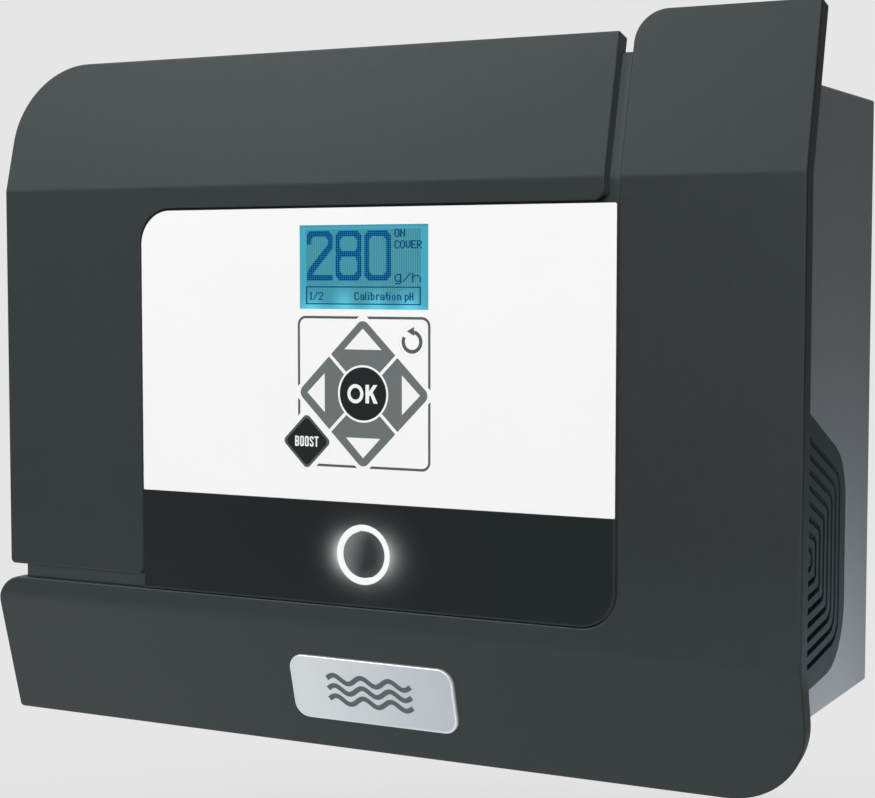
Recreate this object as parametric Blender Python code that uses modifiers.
"""Wall-mounted control box of a salt chlorine generator.

Frame: X to the right along the front, +Y into the wall, +Z up. The origin is on the
wall face, at the middle of the wall bracket. The vertical front is the plane FRONT_Y,
and the front shell folds back at an upper and at a lower crease.
All dimensions are in millimetres and are turned into metres as points are made.
"depth" is measured into the box, square to the folded front.
"""

import math

import bmesh
import bpy
from mathutils import Matrix, Vector

MM = 0.001
WELD = 1.0e-5                   # weld distance, metres

# ---------------------------------------------------------------- shared dimensions
FRONT_Y = -120.0                # plane of the vertical front
CREASE_UP = 79.1                # height of the upper fold
CREASE_LOW = -86.3              # height of the lower fold
FOLD_UP = math.radians(14.65)   # how far the top leans back
FOLD_LOW = math.radians(14.96)  # how far the bottom leans back
GAP = 0.3                       # clearance between neighbouring pieces

COVER_DEPTH = 6.64              # rim of the two trim covers
COVER_WALL = 2.2
CHASSIS_FRONT, CHASSIS_BACK = 4.6, 7.4              # depths
GASKET_FRONT, GASKET_BACK = CHASSIS_BACK + GAP, 9.1
RIM_DEPTH = GASKET_BACK + GAP   # depth at which the rear case starts

CASE_X = 158.7                  # half width of the rear case
CASE_Z = 111.5                  # half height of the rear case
CASE_BACK = -5.0
CASE_WALL = 3.0
CASE_FLOOR = CASE_BACK - CASE_WALL
POST_ROOT = -6.5                # posts end inside the back wall of the case

PANEL = (-99.7, 100.3, -39.3, 70.1)      # x0, x1, z0, z1 of the white panel
STRIP_Z = (-78.3, -39.7)                 # black strip under it
PANEL_ROUND = 13.2                       # radius of the one round corner of each
PANEL_BACK = FRONT_Y + 4.3               # back of the rims of panel and strip
SKIN = 2.4                               # thickness of panel, strip and keys
PANEL_FIT = 0.15                         # clearance of keys and window in the panel
LCD = (-27.3, 27.1, 32.9, 63.5)          # x0, x1, z0, z1
PANEL_CUT = (-126, -112)                 # Y range of cuts through the panel
CHASSIS_CUT = (-125, -105)               # Y range of cuts through the chassis

RING_CENTRE = (-0.2, -58.7)              # X, Z of light ring, button and switch
RING_OUTER = 11.25
RING_INNER = 8.7
SWITCH_BORE = 9.3
SWITCH_BORE_STEPS = 20

TOWERS = ((-120.0, 70.0), (120.0, 70.0), (-120.0, -66.0), (120.0, -66.0))  # X, Z
TOROID_CENTRE = (-88.0, 20.0)            # X, Z

BOARD_FRONT, BOARD_BACK = -20.0, -18.4   # Y faces of the two power boards
MAIN_BOARD = (-28.0, 112.0, -12.0, 98.0)           # x0, x1, z0, z1
TERMINAL_BOARD = (-112.0, 2.0, -98.0, -50.0)
SINK = (20.0, 112.0, -92.0, -20.0)
SINK_FRONT, SINK_BACK = -30.0, -24.0

ENTRY_Y = -52.0                          # row of entries through the bottom wall
GLANDS = {"mains": -100.0, "cell": -66.0}          # name: X
FUSE_X = -34.0
PROBE_X = -4.0

# ---------------------------------------------------------------- scene
for obj in list(bpy.data.objects):
    bpy.data.objects.remove(obj, do_unlink=True)

PARTS = bpy.data.collections.new("salt_chlorine_generator")
CUTTERS = bpy.data.collections.new("cutters")
bpy.context.scene.collection.children.link(PARTS)
bpy.context.scene.collection.children.link(CUTTERS)

BASE = bpy.data.objects.new("generator_base", None)
PARTS.objects.link(BASE)

# ---------------------------------------------------------------- materials
# name: (base colour RGB, roughness, metallic)
MATERIALS = {
    "cover_plastic": ((0.045, 0.050, 0.053), 0.45, 0.0),
    "chassis_plastic": ((0.050, 0.055, 0.058), 0.50, 0.0),
    "case_plastic": ((0.16, 0.17, 0.18), 0.35, 0.2),
    "grille_plastic": ((0.045, 0.055, 0.060), 0.50, 0.0),
    "panel_white": ((0.90, 0.90, 0.90), 0.35, 0.0),
    "gloss_black": ((0.018, 0.021, 0.022), 0.15, 0.0),
    "key_grey": ((0.15, 0.165, 0.16), 0.45, 0.0),
    "key_black": ((0.013, 0.018, 0.020), 0.35, 0.0),
    "lcd_glass": ((0.06, 0.42, 0.52), 0.15, 0.0),
    "ring_diffuser": ((0.95, 0.95, 0.95), 0.30, 0.0),
    "badge_aluminium": ((0.75, 0.77, 0.80), 0.28, 1.0),
    "gasket_rubber": ((0.02, 0.02, 0.02), 0.85, 0.0),
    "plated_steel": ((0.55, 0.56, 0.57), 0.35, 1.0),
    "sink_aluminium": ((0.62, 0.63, 0.65), 0.40, 1.0),
    "board_green": ((0.02, 0.16, 0.07), 0.45, 0.0),
    "module_steel": ((0.60, 0.62, 0.62), 0.40, 1.0),
    "relay_blue": ((0.03, 0.14, 0.40), 0.40, 0.0),
    "capacitor_sleeve": ((0.02, 0.03, 0.07), 0.30, 0.0),
    "terminal_green": ((0.03, 0.30, 0.12), 0.45, 0.0),
    "winding_tape": ((0.75, 0.55, 0.10), 0.40, 0.0),
    "gland_nylon": ((0.035, 0.037, 0.040), 0.50, 0.0),
    "rectifier_epoxy": ((0.02, 0.02, 0.022), 0.50, 0.0),
    "fan_plastic": ((0.02, 0.02, 0.022), 0.45, 0.0),
    "ribbon_grey": ((0.42, 0.43, 0.45), 0.55, 0.0),
    "nickel_brass": ((0.62, 0.60, 0.54), 0.30, 1.0),
    "fuse_glass": ((0.75, 0.80, 0.80), 0.10, 0.0),
    "wire_red": ((0.45, 0.03, 0.02), 0.45, 0.0),
    "wire_blue": ((0.03, 0.08, 0.40), 0.45, 0.0),
}


def make_material(name, colour, roughness, metallic):
    mat = bpy.data.materials.new(name)
    mat.use_nodes = True
    inputs = mat.node_tree.nodes["Principled BSDF"].inputs
    inputs["Base Color"].default_value = (*colour, 1.0)
    inputs["Roughness"].default_value = roughness
    inputs["Metallic"].default_value = metallic
    mat.diffuse_color = (*colour, 1.0)


for material_name, look in MATERIALS.items():
    make_material(material_name, *look)


# ---------------------------------------------------------------- outlines
# A corner is (x, y, radius); an outline is a closed list of (x, y) points.
def arc_steps(radius):
    return 2 if radius < 2.5 else 3 if radius < 8 else 6 if radius < 16 else 10


def rounded(corners, steps_for=arc_steps):
    """Corner list to a point list, each corner with a radius an arc."""
    points = []
    for i, (x, y, radius) in enumerate(corners):
        if radius <= 0:
            points.append((x, y))
            continue
        corner = Vector((x, y))
        before = (Vector(corners[i - 1][:2]) - corner).normalized()
        after = (Vector(corners[(i + 1) % len(corners)][:2]) - corner).normalized()
        half = before.angle(after) / 2
        centre = corner + (before + after).normalized() * (radius / math.sin(half))
        start = corner + before * (radius / math.tan(half)) - centre
        end = corner + after * (radius / math.tan(half)) - centre
        turn = start.angle_signed(end)
        steps = steps_for(radius)
        for j in range(steps + 1):
            cos, sin = math.cos(-turn * j / steps), math.sin(-turn * j / steps)
            points.append((centre.x + start.x * cos - start.y * sin,
                           centre.y + start.x * sin + start.y * cos))
    return points


def inset(corners, distance):
    """The same corner list moved inward (outward when distance is negative)."""
    count = len(corners)
    area = sum(corners[i - 1][0] * corners[i][1] - corners[i][0] * corners[i - 1][1]
               for i in range(count))
    side = 1.0 if area > 0 else -1.0
    moved = []
    for i, (x, y, radius) in enumerate(corners):
        corner = Vector((x, y))
        inbound = (corner - Vector(corners[i - 1][:2])).normalized()
        outbound = (Vector(corners[(i + 1) % count][:2]) - corner).normalized()
        normal_in = Vector((-inbound.y, inbound.x)) * side
        normal_out = Vector((-outbound.y, outbound.x)) * side
        shift = distance / (1.0 + normal_in.dot(normal_out))
        point = corner + (normal_in + normal_out) * shift
        convex = (inbound.x * outbound.y - inbound.y * outbound.x) * side > 0
        new_radius = max(0.0, radius - distance if convex else radius + distance)
        moved.append((point.x, point.y, new_radius))
    return moved


def rect(x0, x1, y0, y1, radius=0.0):
    return [(x0, y0, radius), (x1, y0, radius), (x1, y1, radius), (x0, y1, radius)]


def circle(centre, radius, count):
    angles = (2 * math.pi * (i + 0.5) / count for i in range(count))
    return [(centre[0] + radius * math.cos(a), centre[1] + radius * math.sin(a))
            for a in angles]


def diamond(centre, half, radius):
    x, y = centre
    return rounded([(x + half, y, radius), (x, y + half, radius),
                    (x - half, y, radius), (x, y - half, radius)])


def widened(path, width):
    """An open path of corners widened to a closed outline."""
    points = [Vector(p) for p in rounded(path, lambda radius: 3 if radius > 3 else 1)]
    left, right = [], []
    for i, point in enumerate(points):
        inbound = (point - points[i - 1] if i else points[1] - point).normalized()
        last = i == len(points) - 1
        outbound = inbound if last else (points[i + 1] - point).normalized()
        normal_in = Vector((-inbound.y, inbound.x))
        normal_out = Vector((-outbound.y, outbound.x))
        offset = (normal_in + normal_out) * (width / 2 / (1.0 + normal_in.dot(normal_out)))
        left.append(tuple(point + offset))
        right.append(tuple(point - offset))
    return left + right[::-1]


def on_face(corners):
    """Corners whose heights beyond the creases are measured along the leaning face."""
    def along(z):
        if z > CREASE_UP:
            return CREASE_UP + (z - CREASE_UP) / math.cos(FOLD_UP)
        if z < CREASE_LOW:
            return CREASE_LOW + (z - CREASE_LOW) / math.cos(FOLD_LOW)
        return z

    return [(x, along(z), radius) for x, z, radius in corners]


# ---------------------------------------------------------------- solids
# Local axes of an outline to world axes. Outlines lie in (Y, Z), (X, Z) or (X, Y);
# local z points along +X, -Y or +Z.
TURN = {
    "X": Matrix(((0, 0, 1), (1, 0, 0), (0, 1, 0))),
    "Y": Matrix(((1, 0, 0), (0, 0, -1), (0, 1, 0))),
    "Z": Matrix.Identity(3),
}


def shift_to(axis, centre, along):
    """Move to a centre in the other two axes, in order, and a place along the axis."""
    u, v = centre
    place = {"X": (along, u, v), "Y": (u, along, v), "Z": (u, v, along)}[axis]
    return Matrix.Translation([value * MM for value in place])


def solid_from(source):
    """Evaluate a curve or mesh with its modifiers into a welded bmesh."""
    obj = source if isinstance(source, bpy.types.Object) else bpy.data.objects.new(
        "source", source)
    data = obj.data
    bpy.context.scene.collection.objects.link(obj)
    bpy.context.view_layer.update()
    depsgraph = bpy.context.evaluated_depsgraph_get()
    mesh = bpy.data.meshes.new_from_object(obj.evaluated_get(depsgraph))
    bpy.data.objects.remove(obj)
    owner = bpy.data.curves if isinstance(data, bpy.types.Curve) else bpy.data.meshes
    owner.remove(data)
    solid = bmesh.new()
    solid.from_mesh(mesh)
    bpy.data.meshes.remove(mesh)
    bmesh.ops.remove_doubles(solid, verts=solid.verts, dist=WELD)
    return solid


def add_spline(curve, points):
    """A straight-sided spline through (x, y, z) points in mm."""
    spline = curve.splines.new("POLY")
    spline.points.add(len(points) - 1)
    for target, (x, y, z) in zip(spline.points, points):
        target.co = (x * MM, y * MM, z * MM, 1.0)
    return spline


def prism(axis, outline, start, end, holes=()):
    """A flat outline made solid between start and end along an axis."""
    curve = bpy.data.curves.new("outline", "CURVE")
    curve.dimensions = "2D"
    curve.fill_mode = "BOTH"
    curve.extrude = abs(end - start) / 2 * MM
    for loop in (outline, *holes):
        add_spline(curve, [(x, y, 0.0) for x, y in loop]).use_cyclic_u = True
    solid = solid_from(curve)
    if not holes:
        bmesh.ops.dissolve_limit(solid, angle_limit=math.radians(0.5),
                                 verts=solid.verts, edges=solid.edges)
    matrix = shift_to(axis, (0, 0), (start + end) / 2) @ TURN[axis].to_4x4()
    bmesh.ops.transform(solid, matrix=matrix, verts=solid.verts)
    return solid


def hexagon(axis, centre, radius, start, end, bore, bore_steps):
    """A six-sided nut or flange with a round bore."""
    hole = circle(centre, bore, bore_steps)
    return prism(axis, circle(centre, radius, 6), start, end, [hole])


def box(x0, x1, y0, y1, z0, z1):
    solid = bmesh.new()
    bmesh.ops.create_cube(solid, size=1.0)
    low, high = Vector((x0, y0, z0)) * MM, Vector((x1, y1, z1)) * MM
    for v in solid.verts:
        v.co = Vector([(low[i] + high[i]) / 2 + v.co[i] * (high[i] - low[i])
                       for i in range(3)])
    return solid


def mirrored_boxes(x0, x1, *rest):
    """A box and its twin on the other side of X = 0."""
    return joined(box(-x1, -x0, *rest), box(x0, x1, *rest))


def cylinder(axis, centre, radius, start, end, steps):
    """A round bar; centre is given in the other two axes, in order."""
    solid = bmesh.new()
    bmesh.ops.create_cone(solid, cap_ends=True, segments=steps, radius1=radius * MM,
                          radius2=radius * MM, depth=abs(end - start) * MM)
    lay = {"X": Matrix.Rotation(math.pi / 2, 4, "Y"),
           "Y": Matrix.Rotation(math.pi / 2, 4, "X"),
           "Z": Matrix.Identity(4)}[axis]
    half_step = Matrix.Rotation(math.pi / steps, 4, "Z")
    matrix = shift_to(axis, centre, (start + end) / 2) @ lay @ half_step
    bmesh.ops.transform(solid, matrix=matrix, verts=solid.verts)
    return solid


def cylinders(axis, centres, *size):
    """The same round bar at several centres."""
    return [cylinder(axis, centre, *size) for centre in centres]


def turned(axis, centre, profile, steps, closed=False):
    """A profile of (radius, height) turned about an axis; heights grow along Z, or
    towards the front (-Y)."""
    mesh = bpy.data.meshes.new("profile")
    points = [(radius * MM, 0.0, height * MM) for radius, height in profile]
    edges = [(i, i + 1) for i in range(len(points) - 1)]
    if closed:
        edges.append((len(points) - 1, 0))
    mesh.from_pydata(points, edges, [])
    obj = bpy.data.objects.new("profile", mesh)
    screw = obj.modifiers.new("turn", "SCREW")
    screw.angle = 2 * math.pi
    screw.screw_offset = 0.0
    screw.steps = steps
    screw.render_steps = steps
    screw.use_merge_vertices = True
    screw.merge_threshold = WELD
    solid = solid_from(obj)
    matrix = shift_to(axis, centre, 0) @ TURN[axis].to_4x4()
    bmesh.ops.transform(solid, matrix=matrix, verts=solid.verts)
    return solid


def joined(*pieces):
    """Several separate shapes in one mesh, for one cut or one join."""
    solid = bmesh.new()
    for piece in pieces:
        mesh = bpy.data.meshes.new("piece")
        piece.to_mesh(mesh)
        piece.free()
        solid.from_mesh(mesh)
        bpy.data.meshes.remove(mesh)
    return solid


def ease(solid, offset, pick, segments=1):
    """Chamfer, or round with more segments, the sharp edges that pick(edge) chooses."""
    edges = [e for e in solid.edges
             if len(e.link_faces) == 2
             and e.calc_face_angle(0.0) > math.radians(35) and pick(e)]
    bmesh.ops.bevel(solid, geom=edges, offset=offset * MM, offset_type="OFFSET",
                    segments=segments, profile=0.5, affect="EDGES", clamp_overlap=True)
    return solid


def on_plane(axis, value):
    """Picks edges whose two ends both lie at one coordinate value, in mm."""
    index = "XYZ".index(axis)
    return lambda e: all(abs(v.co[index] - value * MM) < 2e-5 for v in e.verts)


def runs_along(edge, axis):
    index = "XYZ".index(axis)
    return abs(edge.verts[0].co[index] - edge.verts[1].co[index]) > 1e-6


def fold(solid):
    """Fold a flat plate, whose y is the depth under the front, about the two creases."""
    for crease in (CREASE_UP, CREASE_LOW):
        bmesh.ops.bisect_plane(
            solid, geom=solid.verts[:] + solid.edges[:] + solid.faces[:],
            plane_co=(0, 0, crease * MM), plane_no=(0, 0, 1), dist=1e-7)
    for v in solid.verts:
        depth, height = v.co.y / MM, v.co.z / MM
        up, down = height - CREASE_UP, CREASE_LOW - height
        if up > 1e-3:
            y = up * math.sin(FOLD_UP) + depth * math.cos(FOLD_UP)
            z = CREASE_UP + up * math.cos(FOLD_UP) - depth * math.sin(FOLD_UP)
        elif down > 1e-3:
            y = down * math.sin(FOLD_LOW) + depth * math.cos(FOLD_LOW)
            z = CREASE_LOW - down * math.cos(FOLD_LOW) + depth * math.sin(FOLD_LOW)
        elif abs(up) <= 1e-3:
            y, z = depth, CREASE_UP - depth * math.tan(FOLD_UP / 2)
        elif abs(down) <= 1e-3:
            y, z = depth, CREASE_LOW + depth * math.tan(FOLD_LOW / 2)
        else:
            y, z = depth, height
        v.co.y, v.co.z = (FRONT_Y + y) * MM, z * MM
    return solid


def plate(corners, front, back, holes=(), edge=0.0, segments=2):
    """A plate that follows the folded front, between two depths under it."""
    hole_outlines = [rounded(on_face(hole)) for hole in holes]
    solid = prism("Y", rounded(on_face(corners)), front, back, hole_outlines)
    if edge:
        ease(solid, edge, on_plane("Y", front), segments)
    return fold(solid)


# ---------------------------------------------------------------- objects
def mesh_object(name, solid, collection):
    mesh = bpy.data.meshes.new(name)
    bmesh.ops.recalc_face_normals(solid, faces=solid.faces)
    solid.to_mesh(mesh)
    solid.free()
    obj = bpy.data.objects.new(name, mesh)
    collection.objects.link(obj)
    return obj


def part(name, solid, material, origin=(0.0, 0.0, 0.0), smooth=30.0):
    """A named piece; edges sharper than smooth degrees stay sharp."""
    place = Vector(origin) * MM
    bmesh.ops.translate(solid, vec=-place, verts=solid.verts)
    obj = mesh_object(name, solid, PARTS)
    obj.data.shade_smooth()
    obj.data.set_sharp_from_angle(angle=math.radians(smooth))
    obj.data.materials.append(bpy.data.materials[material])
    obj.location = place
    obj.parent = BASE
    return obj


def boolean(target, name, solid, operation):
    helper = mesh_object(target.name + "_" + name, solid, CUTTERS)
    helper.hide_render = True
    helper.display_type = "WIRE"
    modifier = target.modifiers.new(name, "BOOLEAN")
    modifier.operation = operation
    modifier.solver = "EXACT"
    modifier.object = helper


def cut(target, name, solid):
    boolean(target, name, solid, "DIFFERENCE")


def add(target, name, solid):
    boolean(target, name, solid, "UNION")


# ================================================================= housing
CHASSIS = [(-162.7, -128.0, 4.0), (162.7, -128.0, 27.0),
           (162.7, 124.3, 5.0), (-162.7, 124.3, 28.0)]
COVERS = {
    "upper_left_cover": [
        (-167.3, -73.3, 2.0), (-100.3, -73.3, 3.0), (-100.3, 70.9, 13.8),
        (95.8, 70.9, 4.5), (95.8, 130.4, 1.0), (-167.3, 130.4, 32.0)],
    "lower_right_cover": [
        (-174.3, -136.6, 1.6), (167.2, -136.6, 30.6), (167.2, 137.4, 1.0),
        (101.1, 137.4, 11.6), (101.1, -78.7, 13.8), (-174.3, -78.7, 12.0)],
}
BADGE = rect(-35.1, 35.2, -124.8, -99.4, 6.0)

# side grille corners in (Y, Z): visible plate, flange behind it, hollow in its back
GRILLE = [(-100.0, 3.6, 1.5), (-37.6, -22.9, 22.0),
          (-37.6, -97.3, 24.0), (-100.0, -102.2, 1.5)]
GRILLE_FLANGE = [(-103.0, 5.6, 1.5), (-34.6, -23.6, 23.0),
                 (-34.6, -99.0, 25.0), (-103.0, -104.6, 1.5)]
GRILLE_HOLLOW = [(-92.0, -4.0, 3.0), (-41.5, -26.0, 18.0),
                 (-41.5, -93.5, 19.0), (-92.0, -98.4, 3.0)]
GRILLE_FIT = 0.2
SLOT_COUNT = 8
SLOT_WIDTH = 2.2
SLOT_FRONT = -86.0              # Y of the slot ends
SLOT_BACK = -45.6               # Y of the back run of the outermost slot
SLOT_TOP, SLOT_BOTTOM = -11.6, -92.9     # Z of its two ends
SLOT_PITCH = 5.0                # between back runs
SLOT_TOP_PITCH = 5.45
SLOT_BOTTOM_PITCH = 4.95
UPPER_SLOPE = math.tan(math.radians(22.0))
LOWER_SLOPE = math.tan(math.radians(7.3))


def build_bracket():
    """Ladder plate with two upturned hooks and two spacer pads."""
    windows = [rounded(rect(15, 66, -56, 66, 5)), rounded(rect(-66, -15, -56, 66, 5))]
    outline = rounded(rect(-80, 80, -70, 105, 6))
    bracket = part("wall_bracket", prism("Y", outline, -3, 0, windows), "plated_steel")
    add(bracket, "tongues", mirrored_boxes(50, 70, -11, -1.5, 82, 86))
    add(bracket, "upturns", mirrored_boxes(50.5, 69.5, -13.2, -10.4, 82.5, 94))
    add(bracket, "pads", mirrored_boxes(60, 72, -4.7, -1.5, -68, -58))
    screws = ((-73, 20), (73, 20), (0, 96), (0, -63))
    cut(bracket, "wall_screw_holes", joined(*cylinders("Y", screws, 2.8, -6, 3, 10)))


def board_posts(bounds):
    """Posts under the four corners of a power board."""
    x0, x1, z0, z1 = bounds
    margin = 6
    centres = [(x, z) for z in (z0 + margin, z1 - margin) for x in (x0 + margin, x1 - margin)]
    return cylinders("Y", centres, 3.5, BOARD_BACK + GAP, POST_ROOT, 8)


def build_case():
    """Open-fronted box with a rim that follows the folded front."""
    corners = rect(-CASE_X, CASE_X, -CASE_Z, CASE_Z, 0.9)
    block = prism("Y", rounded(corners), -125, CASE_BACK)
    ease(block, 0.8, on_plane("Y", CASE_BACK))
    case = part("rear_case", block, "case_plastic")
    cut(case, "cavity", prism("Y", rounded(inset(corners, CASE_WALL)), -135, CASE_FLOOR))
    cut(case, "front_fold", plate(rect(-200, 200, -150, 150), -30, RIM_DEPTH))

    window = rounded(inset(GRILLE, -GRILLE_FIT))
    cut(case, "grille_windows", joined(*(prism("X", window, 150 * side, 165 * side)
                                         for side in (1, -1))))
    cut(case, "hang_slots", mirrored_boxes(48, 72, -12, 0, 72.5, 86.3))

    entries = [(x, 10.5) for x in GLANDS.values()] + [(FUSE_X, 6.4), (PROBE_X, 5.0)]
    cut(case, "bottom_holes", joined(*(
        cylinder("Z", (x, ENTRY_Y), radius, -120, -100, 16) for x, radius in entries)))

    sink_posts = ((30, -30), (104, -30), (30, -84), (100, -84))
    add(case, "posts", joined(
        *cylinders("Y", TOWERS, 4.5, -111.2, POST_ROOT, 10),
        *board_posts(MAIN_BOARD),
        *board_posts(TERMINAL_BOARD),
        *cylinders("Y", sink_posts, 4.0, SINK_BACK + GAP, POST_ROOT, 8)))
    cut(case, "tower_bores", joined(*cylinders("Y", TOWERS, 1.9, -120, -90, 8)))
    add(case, "transformer_boss", cylinder("Y", TOROID_CENTRE, 8.0, -20.0, POST_ROOT, 16))
    cut(case, "transformer_bore", cylinder("Y", TOROID_CENTRE, 3.2, -25.0, -12.4, 12))


def build_gasket():
    """Ring between the chassis and the case rim."""
    hole = rect(-155.4, 155.4, -108.2, 108.2, 1.5)
    ring = plate(rect(-158.2, 158.2, -111.0, 111.0, 2.2), GASKET_FRONT, GASKET_BACK, [hole])
    part("case_gasket", ring, "gasket_rubber")


def build_chassis():
    """Folded plate behind the panel and the two covers."""
    body = plate(CHASSIS, CHASSIS_FRONT, CHASSIS_BACK, edge=0.5, segments=1)
    chassis = part("front_chassis", body, "chassis_plastic")
    window = rounded(rect(-38, 38, -31, 67.6, 3))
    cut(chassis, "display_window", prism("Y", window, *CHASSIS_CUT))
    cut(chassis, "switch_hole",
        cylinder("Y", RING_CENTRE, SWITCH_BORE, *CHASSIS_CUT, SWITCH_BORE_STEPS))
    cut(chassis, "screw_holes", joined(*cylinders("Y", TOWERS, 2.0, *CHASSIS_CUT, 10)))


def build_chassis_screws():
    # radius, distance in front of the wall
    profile = [(0, 117.4), (2.6, 117.4), (3.6, 116.7), (3.6, 115.7),
               (1.4, 115.7), (1.4, 98.0), (1.2, 97.0), (0, 97.0)]
    for i, (x, z) in enumerate(TOWERS):
        screw = part(f"chassis_screw_{i + 1}", turned("Y", (x, z), profile, 12),
                     "plated_steel", (x, -106, z))
        cut(screw, "drive", box(x - 1.9, x + 1.9, -118.6, -116.5, z - 0.4, z + 0.4))


def build_cover(name):
    """Trim cover, hollowed from behind and cleared around the chassis."""
    corners = COVERS[name]
    cover = part(name, plate(corners, 0.0, COVER_DEPTH, edge=0.8), "cover_plastic")
    pocket = rounded(inset(on_face(corners), COVER_WALL))
    cut(cover, "hollow", fold(prism("Y", pocket, COVER_WALL, 12.0)))
    clearance = plate(inset(CHASSIS, -GAP), CHASSIS_FRONT - GAP, 14.0)
    cut(cover, "chassis_clearance", clearance)
    return cover


def build_badge(cover):
    """Badge plate in a shallow pocket of the lower cover."""
    cut(cover, "badge_pocket", plate(inset(BADGE, -0.25), -3.0, 1.2))
    part("badge_plate", plate(BADGE, -0.9, 0.9, edge=0.7), "badge_aluminium")


def slot_path(k):
    """Centre line of slot k, from its upper end round the back to its lower end.
    Slot 0 is the outermost."""
    back = SLOT_BACK - SLOT_PITCH * k
    top = SLOT_TOP - SLOT_TOP_PITCH * k
    bottom = SLOT_BOTTOM + SLOT_BOTTOM_PITCH * k
    length = back - SLOT_FRONT
    radius = max(1.3, 9.0 - 1.9 * k)
    return [(SLOT_FRONT, top, 0), (back, top - length * UPPER_SLOPE, radius),
            (back, bottom + length * LOWER_SLOPE, radius), (SLOT_FRONT, bottom, 0)]


def build_grille(name, side):
    """Plate in the case side with nested slots and a rib behind them."""
    def layer(corners, inner, outer):
        return prism("X", rounded(corners), inner * side, outer * side)

    grille = part(name, layer(GRILLE, 155.0, CASE_X), "grille_plastic")
    add(grille, "flange", layer(GRILLE_FLANGE, 153.2, 155.4))
    cut(grille, "hollow", layer(GRILLE_HOLLOW, 150.0, 156.2))
    cut(grille, "slots", joined(*(
        prism("X", widened(slot_path(k), SLOT_WIDTH), 150 * side, 170 * side)
        for k in range(SLOT_COUNT))))
    x0, x1 = sorted((153.6 * side, 156.8 * side))
    add(grille, "rib", box(x0, x1, -91.0, -43.5, -54.7, -53.3))


# ================================================================= front panel
KEY_CENTRE = (-0.1, 1.3)        # X, Z of the middle of the keypad
KEY_DIAMOND = 28.1              # half diagonal of the arrow keys together
OK_RADIUS = 9.9
ARROW_INNER = 10.75             # inner radius of the arrow keys
ARROW_REACH = 19.0              # keypad middle to the origin of an arrow key
RIB = 0.66                      # half width of the ribs between arrow keys
BOOST_CENTRE = (-24.4, -17.2)
BOOST_HALF = 10.6               # half diagonal
BACK_CENTRE = (20.7, 20.9)
BACK_RADIUS = 5.6
# name and direction in (X, Z), each a quarter turn on from the one before
ARROWS = (("key_up", 0, 1), ("key_left", -1, 0), ("key_down", 0, -1), ("key_right", 1, 0))

DISPLAY_BOARD = (-36.5, 36.5, -110.4, -108.8, -29.5, 66.4)   # as for box()
DISPLAY_ROOT = -109.6           # its parts start at its middle plane


def arrow(turns, grow=0.0):
    """Outline of an arrow key (pointing up for turns 0), optionally grown all round."""
    half = KEY_DIAMOND + grow * math.sqrt(2)
    rib = (RIB - grow) * math.sqrt(2)
    inner = ARROW_INNER - grow
    tip = rounded([(half, 0, 0), (0, half, 2.9 + grow), (-half, 0, 0)])[1:-1]
    # the rib side z = x + rib meets the diamond's edge and the inner circle
    outer_x, outer_z = (half - rib) / 2, (half + rib) / 2
    inner_x = (-2 * rib + math.sqrt(4 * rib * rib - 8 * (rib * rib - inner * inner))) / 4
    start = math.atan2(inner_x + rib, inner_x)
    angles = [start + (math.pi - 2 * start) * j / 8 for j in range(9)]
    arc = [(inner * math.cos(a), inner * math.sin(a)) for a in angles]
    points = [(outer_x, outer_z), *tip, (-outer_x, outer_z), *reversed(arc)]
    cos, sin = math.cos(turns * math.pi / 2), math.sin(turns * math.pi / 2)
    return [(KEY_CENTRE[0] + x * cos - z * sin, KEY_CENTRE[1] + x * sin + z * cos)
            for x, z in points]


def key_layout():
    """Rows of (name, key outline, opening outline, centre, material)."""
    rows = []
    for turns, (name, right, up) in enumerate(ARROWS):
        centre = (KEY_CENTRE[0] + right * ARROW_REACH, KEY_CENTRE[1] + up * ARROW_REACH)
        rows.append((name, arrow(turns), arrow(turns, PANEL_FIT), centre, "key_grey"))
    rows.append(("key_ok", circle(KEY_CENTRE, OK_RADIUS, 32),
                 circle(KEY_CENTRE, OK_RADIUS + PANEL_FIT, 32), KEY_CENTRE, "key_black"))
    opening = diamond(BOOST_CENTRE, BOOST_HALF + PANEL_FIT * math.sqrt(2), 2.0)
    rows.append(("key_boost", diamond(BOOST_CENTRE, BOOST_HALF, 1.9), opening,
                 BOOST_CENTRE, "key_black"))
    rows.append(("key_back", circle(BACK_CENTRE, BACK_RADIUS, 24),
                 circle(BACK_CENTRE, BACK_RADIUS + PANEL_FIT, 24), BACK_CENTRE,
                 "panel_white"))
    return rows


def face_plate(name, corners, material):
    """Flat plate on the front, hollowed from behind inside a 2 mm rim."""
    obj = part(name, prism("Y", rounded(corners), FRONT_Y, PANEL_BACK), material)
    pocket = rounded(inset(corners, 2.0))
    cut(obj, "back_pocket", prism("Y", pocket, FRONT_Y + SKIN, FRONT_Y + 8))
    return obj


def build_panel(keys):
    x0, x1, z0, z1 = PANEL
    corners = [(x0, z0, 0), (x1, z0, 0), (x1, z1, 0), (x0, z1, PANEL_ROUND)]
    panel = face_plate("control_panel", corners, "panel_white")
    cut(panel, "lcd_opening", prism("Y", rounded(rect(*LCD)), *PANEL_CUT))
    cut(panel, "key_openings", joined(*(
        prism("Y", opening, *PANEL_CUT) for _, _, opening, _, _ in keys)))


def build_keys(keys):
    """Keys flush with the panel, each with a round stem behind it."""
    for name, outline, _, centre, material in keys:
        key = part(name, prism("Y", outline, FRONT_Y, FRONT_Y + SKIN), material,
                   (centre[0], FRONT_Y, centre[1]))
        add(key, "stem", cylinder("Y", centre, 2.2, FRONT_Y + 1.8, -112.4, 12))


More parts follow.
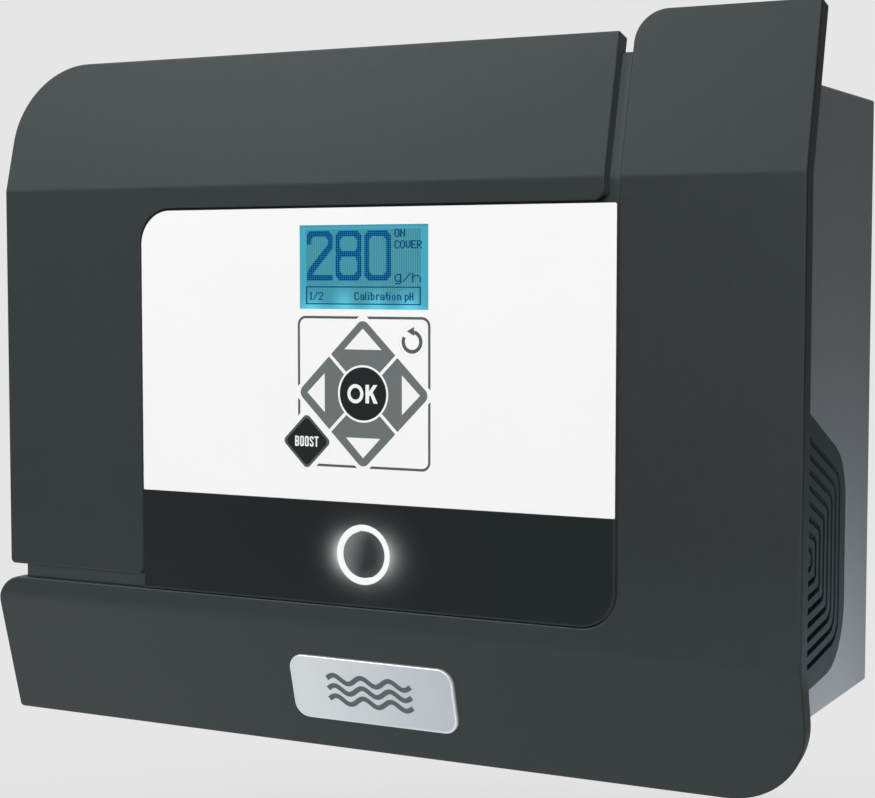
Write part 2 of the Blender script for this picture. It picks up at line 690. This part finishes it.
def build_strip():
    x0, x1 = PANEL[:2]
    z0, z1 = STRIP_Z
    corners = [(x0, z0, 0), (x1, z0, PANEL_ROUND), (x1, z1, 0), (x0, z1, 0)]
    strip = face_plate("status_strip", corners, "gloss_black")
    cut(strip, "ring_hole", cylinder("Y", RING_CENTRE, RING_OUTER + 0.2, *PANEL_CUT, 32))


def build_power_button():
    """Light ring, button, and the switch with its nut; profiles are (radius,
    distance in front of the wall)."""
    x, z = RING_CENTRE
    ring = [(RING_OUTER, -FRONT_Y), (RING_OUTER, -PANEL_BACK),
            (RING_INNER, -PANEL_BACK), (RING_INNER, -FRONT_Y)]
    part("light_ring", turned("Y", RING_CENTRE, ring, 32, closed=True),
         "ring_diffuser", (x, FRONT_Y, z))

    radius = RING_INNER - 0.3
    button = [(0, 119.6), (radius - 0.6, 119.6), (radius, 119.0), (radius, 115.9),
              (3.0, 115.9), (3.0, 111.8), (0, 111.8)]
    part("power_button", turned("Y", RING_CENTRE, button, 24), "key_black",
         (x, FRONT_Y, z))

    body = [(0, 109.4), (5.0, 109.4), (5.0, 114.6), (9.0, 114.6), (9.0, 96.0), (0, 96.0)]
    switch = part("power_switch", turned("Y", RING_CENTRE, body, 20), "fan_plastic",
                  (x, -105, z))
    add(switch, "pins", joined(*(
        box(x + side - 1.4, x + side + 1.4, -97, -90, z - 0.4, z + 0.4)
        for side in (-4, 4))))
    nut = hexagon("Y", RING_CENTRE, 13.0, -111.9, -108.4, SWITCH_BORE, SWITCH_BORE_STEPS)
    part("switch_nut", nut, "gland_nylon")


def build_display(keys):
    """Window, display module and the board behind the panel."""
    window = rounded(inset(rect(*LCD), PANEL_FIT))
    part("lcd_window", prism("Y", window, FRONT_Y, FRONT_Y + 2.0), "lcd_glass")
    module = box(-33.0, 33.0, -117.3, -110.7, 29.4, 66.9)
    part("lcd_module", ease(module, 0.5, on_plane("Y", -117.3)), "module_steel")

    board = part("display_board", box(*DISPLAY_BOARD), "board_green")
    add(board, "tact_switches", joined(*(
        box(x - 3, x + 3, -111.9, DISPLAY_ROOT, z - 3, z + 3)
        for _, _, _, (x, z), _ in keys)))
    # x0, x1, back y, z0, z1
    rear = ((-16, 16, -102.5, 50, 57), (-12, 2, -107.2, 8, 22),
            (10, 17, -107.4, 12, 19), (-26, -18, -106.4, -14, -6))
    add(board, "rear_components", joined(*(
        box(x0, x1, DISPLAY_ROOT, back, z0, z1) for x0, x1, back, z0, z1 in rear)))


# ================================================================= power electronics
PART_ROOT = BOARD_FRONT + 0.5   # small parts start inside their board
PART_BACK = BOARD_FRONT - GAP   # separate parts stand clear of it

FAN_CENTRE = (-66.0, -52.0)     # Y, Z of the fan axis
FAN_INNER, FAN_OUTER = 137.6, 152.6      # X faces of the frame

# x0, x1, front y, z0, z1
MAIN_COMPONENTS = (
    (20, 34, -22.4, 14, 28), (40, 50, -22.0, 16, 24), (18, 52, -27.5, 84, 92),
    (-20, -6, -31.0, 4, 16), (0, 12, -24.0, 2, 10), (96, 106, -33.0, 10, 40),
    (64, 84, -29.0, -8, 4), (28, 40, -25.0, 40, 62),
)
TERMINAL_COMPONENTS = ((-100, -70, -26, -66, -56), (-60, -40, -24, -66, -56))

# name, x0, x1, number of ways
TERMINAL_BLOCKS = (
    ("mains_terminal_block", -110, -80, 3),
    ("cell_terminal_block", -74, -46, 2),
    ("signal_terminal_block", -40, -2, 6),
)

# name, radius, material, points (x, y, z) along the lead
LEADS = (
    ("primary_lead", 1.6, "wire_blue",
     [(-112, -46, -25.5), (-116, -44, -36), (-104, -36, -46), (-90, -32, -53.5),
      (-88, -28.2, -58)]),
    ("secondary_lead", 2.0, "wire_red",
     [(-70, -47, -25.3), (-58, -52, -36), (-20, -54, -42), (10, -50, -46),
      (30, -48.6, -48)]),
)


def build_transformer():
    """Toroid near the back wall, with its dished clamp and hexagon bolt."""
    x, z = TOROID_CENTRE
    back, front = 9.2, 53.2     # distances from the wall
    round_radial, round_axial = 6.0, 8.0
    profile = []
    # elliptic corners: centre radius, centre height, start angle in degrees
    for radius, height, start in ((42.0, front - round_axial, 90),
                                  (42.0, back + round_axial, 0),
                                  (26.0, back + round_axial, -90),
                                  (26.0, front - round_axial, -180)):
        for j in range(3):
            angle = math.radians(start - 90 * j / 2)
            profile.append((radius + round_radial * math.cos(angle),
                            height + round_axial * math.sin(angle)))
    part("toroidal_transformer", turned("Y", TOROID_CENTRE, profile, 26, closed=True),
         "winding_tape", (x, -back, z))

    # radius, distance in front of the wall
    clamp = [(34, 53.5), (34, 54.9), (20, 54.9), (16.5, 50.2),
             (3.3, 50.2), (3.3, 48.6), (17.4, 48.6), (20.8, 53.5)]
    part("transformer_clamp", turned("Y", TOROID_CENTRE, clamp, 22, closed=True),
         "plated_steel", (x, -53.5, z))

    seat = -50.6
    head = prism("Y", circle(TOROID_CENTRE, 6.0, 6), -55.0, seat)
    bolt = part("transformer_bolt", head, "plated_steel", (x, seat, z))
    add(bolt, "shank", cylinder("Y", TOROID_CENTRE, 2.9, -52.0, -13.0, 12))


def build_heat_sink():
    """Base plate with fins that run along X."""
    x0, x1, z0, z1 = SINK
    sink = part("heat_sink", box(x0, x1, SINK_FRONT, SINK_BACK, z0, z1), "sink_aluminium")
    fin_pitch, fin_thickness = 6.2, 1.8
    starts = [z0 + 1.0 + fin_pitch * i for i in range(12)]
    add(sink, "fins", joined(*(
        box(54, x1 - 0.01, -62.0, -29.0, z, z + fin_thickness) for z in starts)))


def build_rectifier():
    """Square block on the heat sink, with four tabs and a screw."""
    x, z = centre = (37, -59)
    half, tab_offset, front = 13, 7, -40.0
    body = box(x - half, x + half, front, SINK_FRONT - GAP, z - half, z + half)
    ease(body, 1.5, on_plane("Y", front))
    rectifier = part("bridge_rectifier", body, "rectifier_epoxy")
    tabs = [(x + i * tab_offset, z + j * tab_offset) for j in (1, -1) for i in (-1, 1)]
    add(rectifier, "tabs", joined(*(
        box(tab_x - 3, tab_x + 3, -47.5, -39, tab_z - 0.4, tab_z + 0.4)
        for tab_x, tab_z in tabs)))
    cut(rectifier, "screw_bore", cylinder("Y", centre, 2.2, -45, -25, 12))
    # radius, distance in front of the wall
    screw = [(0, 42.6), (3.2, 42.6), (3.6, 40.3), (1.8, 40.3), (1.8, 30.4), (0, 30.4)]
    part("rectifier_screw", turned("Y", centre, screw, 12), "plated_steel", (x, front, z))


def power_board(name, bounds):
    x0, x1, z0, z1 = bounds
    return part(name, box(x0, x1, BOARD_FRONT, BOARD_BACK, z0, z1), "board_green")


def component_boxes(rows):
    return [box(x0, x1, front, PART_ROOT, z0, z1) for x0, x1, front, z0, z1 in rows]


def build_main_board():
    board = power_board("main_board", MAIN_BOARD)
    add(board, "components", joined(*component_boxes(MAIN_COMPONENTS)))
    capacitors = ((12, 62), (12, 50), (44, 6), (54, 6))
    add(board, "small_capacitors", joined(*cylinders(
        "Y", capacitors, 4.0, -33.0, PART_ROOT, 10)))


def build_relays():
    """Boxes with eased front edges and eased corners along their depth."""
    front = -43.0
    at_front = on_plane("Y", front)
    for i, z in enumerate((72.0, 41.0)):
        body = box(60, 90, front, PART_BACK, z - 13, z + 13)
        ease(body, 1.0, lambda e: runs_along(e, "Y") or at_front(e))
        part(f"polarity_relay_{i + 1}", body, "relay_blue")


def build_filter_capacitors():
    """Cans with a groove near the board."""
    x, radius = -8, 13.0
    # radius, distance in front of the wall
    profile = [(0, 62.3), (11.6, 62.3), (radius, 61.0), (radius, 26.0), (12.2, 24.6),
               (radius, 23.2), (radius, -PART_BACK), (0, -PART_BACK)]
    for i, z in enumerate((74.0, 42.0)):
        part(f"filter_capacitor_{i + 1}", turned("Y", (x, z), profile, 18),
             "capacitor_sleeve", (x, PART_BACK, z))


def build_terminal_board():
    board = power_board("terminal_board", TERMINAL_BOARD)
    add(board, "parts", joined(
        *component_boxes(TERMINAL_COMPONENTS),
        *cylinders("Y", ((-26, -62), (-14, -62)), 3.5, -32, PART_ROOT, 12)))


def build_terminal_block(name, x0, x1, ways):
    """Block with a screw well in the front and a wire entry below for each way."""
    z0, z1 = -94.0, -76.0
    front = -38.0
    at_front = on_plane("Y", front)
    body = box(x0, x1, front, PART_BACK, z0, z1)
    ease(body, 1.5, lambda e: runs_along(e, "X") and at_front(e))
    block = part(name, body, "terminal_green")
    pitch = (x1 - x0) / ways
    middles = [x0 + pitch * (i + 0.5) for i in range(ways)]
    wells = [(x, (z0 + z1) / 2) for x in middles]
    cut(block, "screw_wells", joined(*cylinders(
        "Y", wells, min(pitch * 0.32, 4.0), -40.0, -32.0, 12)))
    cut(block, "wire_entries", joined(*(
        box(x - pitch * 0.3, x + pitch * 0.3, -31.0, -24.0, z0 - 1, z0 + 6)
        for x in middles)))


def build_fan_frame():
    """Square frame behind the right grille, with a four-armed spider on its inner side."""
    y, z = FAN_CENTRE
    outline = rounded(rect(y - 30, y + 30, z - 30, z + 30, 3))
    frame = part("fan_frame", prism("X", outline, FAN_INNER, FAN_OUTER,
                                    [circle(FAN_CENTRE, 28.0, 26)]), "fan_plastic")
    hub = prism("X", circle(FAN_CENTRE, 11.0, 16), FAN_INNER + 0.02, FAN_INNER + 2.0)
    add(frame, "spider", hub)
    x0, x1 = FAN_INNER + 0.05, FAN_INNER + 1.9
    reaches = ((-29, -9.5), (9.5, 29))
    half = 1.5                  # half width of an arm
    add(frame, "arms", joined(
        *(box(x0, x1, y + a, y + b, z - half, z + half) for a, b in reaches),
        *(box(x0, x1, y - half, y + half, z + a, z + b) for a, b in reaches)))
    screws = [(y + i * 25, z + j * 25) for i in (-1, 1) for j in (-1, 1)]
    cut(frame, "screw_holes", joined(*cylinders(
        "X", screws, 2.1, FAN_INNER - 2, FAN_OUTER + 2, 8)))


def build_fan_rotor():
    """Hub with seven pitched blades."""
    y, z = FAN_CENTRE
    outer = FAN_OUTER - 0.8
    hub = cylinder("X", FAN_CENTRE, 11.0, FAN_INNER + 2.4, outer, 20)
    ease(hub, 1.0, on_plane("X", outer))
    rotor = part("fan_rotor", hub, "fan_plastic", (FAN_INNER + 7.5, y, z))
    pitch = Matrix.Rotation(math.radians(48), 4, "Z")
    place = shift_to("X", FAN_CENTRE, FAN_INNER + 7.9)
    count = 7
    blades = []
    for i in range(count):
        blade = box(-0.9, 0.9, -6.5, 6.5, 9.5, 26.5)
        bmesh.ops.transform(blade, matrix=pitch, verts=blade.verts)
        spin = Matrix.Rotation(2 * math.pi * i / count + 0.2, 4, "X")
        bmesh.ops.transform(blade, matrix=place @ spin, verts=blade.verts)
        blades.append(blade)
    add(rotor, "blades", joined(*blades))


def build_ribbon_cable():
    """Flat cable between the main board and the display board; path in (Y, Z)."""
    path = [(-28.0, 88.0, 0), (-60.0, 88.0, 14.0), (-78.0, 53.5, 14.0), (-102.0, 53.5, 0)]
    part("ribbon_cable", prism("X", widened(path, 1.0), 20, 50), "ribbon_grey")


def smooth_path(stations, steps):
    """Catmull-Rom points through the given ones."""
    knots = [Vector(station) for station in stations]
    knots = [knots[0] * 2 - knots[1], *knots, knots[-1] * 2 - knots[-2]]
    points = []
    for i in range(1, len(knots) - 2):
        a, b, c, d = knots[i - 1:i + 3]
        for j in range(steps):
            t = j / steps
            points.append(0.5 * ((2 * b) + (c - a) * t
                                 + (2 * a - 5 * b + 4 * c - d) * t * t
                                 + (3 * b - a - 3 * c + d) * t ** 3))
    points.append(knots[-2])
    return points


def build_lead(name, radius, material, stations):
    """Round wire along a smooth path."""
    curve = bpy.data.curves.new(name, "CURVE")
    curve.dimensions = "3D"
    curve.bevel_depth = radius * MM
    curve.bevel_resolution = 1
    curve.use_fill_caps = True
    add_spline(curve, smooth_path(stations, 4))
    part(name, solid_from(curve), material, smooth=60)


# ================================================================= cable entries
CASE_BOTTOM = -CASE_Z
OUTER_SEAT = CASE_BOTTOM - GAP               # flanges below the bottom wall
INNER_SEAT = CASE_BOTTOM + CASE_WALL + GAP   # nuts above it
# Profiles below are (radius, z).


def build_gland(name, x):
    """Gland through the bottom wall: body, clamping nut, lock nut."""
    centre = (x, ENTRY_Y)
    profile = [(10.0, -98.0), (10.0, -118.0), (9.0, -119.5),
               (9.0, -127.0), (6.0, -127.0), (6.0, -98.0)]
    body = part(f"{name}_gland_body", turned("Z", centre, profile, 14, closed=True),
                "gland_nylon", (x, ENTRY_Y, CASE_BOTTOM))
    add(body, "hex_flange", hexagon("Z", centre, 13.6, -117.2, OUTER_SEAT, 9.0, 12))

    nut = [(12.6, -117.5), (12.6, -126.0), (11.0, -131.0), (6.2, -132.4),
           (6.2, -128.0), (10.9, -127.5), (10.9, -117.5)]
    part(f"{name}_gland_nut", turned("Z", centre, nut, 12, closed=True),
         "gland_nylon", (x, ENTRY_Y, -125.0), smooth=20)
    lock = hexagon("Z", centre, 13.8, INNER_SEAT, -103.5, 10.5, 16)
    part(f"{name}_lock_nut", lock, "gland_nylon")


def build_fuse():
    """Holder, cap with a driver slot, cartridge."""
    centre = (FUSE_X, ENTRY_Y)
    holder = [(0, -74), (4.0, -74), (6.0, -76), (6.0, OUTER_SEAT), (8.6, OUTER_SEAT),
              (8.6, -114.4), (3.6, -114.4), (3.6, -80), (0, -80)]
    part("fuse_holder", turned("Z", centre, holder, 14), "gland_nylon",
         (*centre, CASE_BOTTOM))

    profile = [(0, -107.0), (3.3, -107.0), (3.3, -114.7), (7.4, -114.7),
               (7.4, -121.6), (6.6, -122.6), (0, -122.6)]
    cap = part("fuse_cap", turned("Z", centre, profile, 18), "gland_nylon",
               (*centre, -114.7))
    cut(cap, "driver_slot", box(FUSE_X - 5.5, FUSE_X + 5.5,
                                ENTRY_Y - 0.6, ENTRY_Y + 0.6, -124, -120.8))

    cartridge = [(0, -84.0), (2.6, -84.0), (2.6, -88.8), (2.35, -89.0),
                 (2.35, -101.4), (2.6, -101.6), (2.6, -106.6), (0, -106.6)]
    part("fuse_cartridge", turned("Z", centre, cartridge, 12), "fuse_glass",
         (*centre, -95.0))


def build_probe_connector():
    """Connector with two bayonet lugs, and its nut."""
    centre = (PROBE_X, ENTRY_Y)
    profile = [(4.7, -100.0), (4.7, OUTER_SEAT), (7.2, OUTER_SEAT), (7.2, -113.8),
               (4.8, -113.8), (4.8, -126.0), (3.9, -126.0), (3.9, -116.0),
               (2.0, -115.0), (2.0, -100.0)]
    probe = part("probe_connector", turned("Z", centre, profile, 14, closed=True),
                 "nickel_brass", (*centre, CASE_BOTTOM))
    add(probe, "lugs", joined(*(
        box(PROBE_X + start, PROBE_X + end, ENTRY_Y - 0.9, ENTRY_Y + 0.9, -121, -119.2)
        for start, end in ((-6.0, -4.3), (4.3, 6.0)))))
    nut = hexagon("Z", centre, 8.0, INNER_SEAT, -105.6, 5.0, 14)
    part("probe_nut", nut, "nickel_brass")


# ================================================================= build
build_bracket()
build_case()
build_gasket()
build_chassis()
build_chassis_screws()
build_cover("upper_left_cover")
build_badge(build_cover("lower_right_cover"))
build_grille("side_grille_right", 1)
build_grille("side_grille_left", -1)

key_rows = key_layout()
build_panel(key_rows)
build_keys(key_rows)
build_strip()
build_power_button()
build_display(key_rows)

build_transformer()
build_heat_sink()
build_rectifier()
build_main_board()
build_relays()
build_filter_capacitors()
build_terminal_board()
for block_row in TERMINAL_BLOCKS:
    build_terminal_block(*block_row)
build_fan_frame()
build_fan_rotor()
build_ribbon_cable()
for lead_row in LEADS:
    build_lead(*lead_row)

for gland_name, gland_x in GLANDS.items():
    build_gland(gland_name, gland_x)
build_fuse()
build_probe_connector()
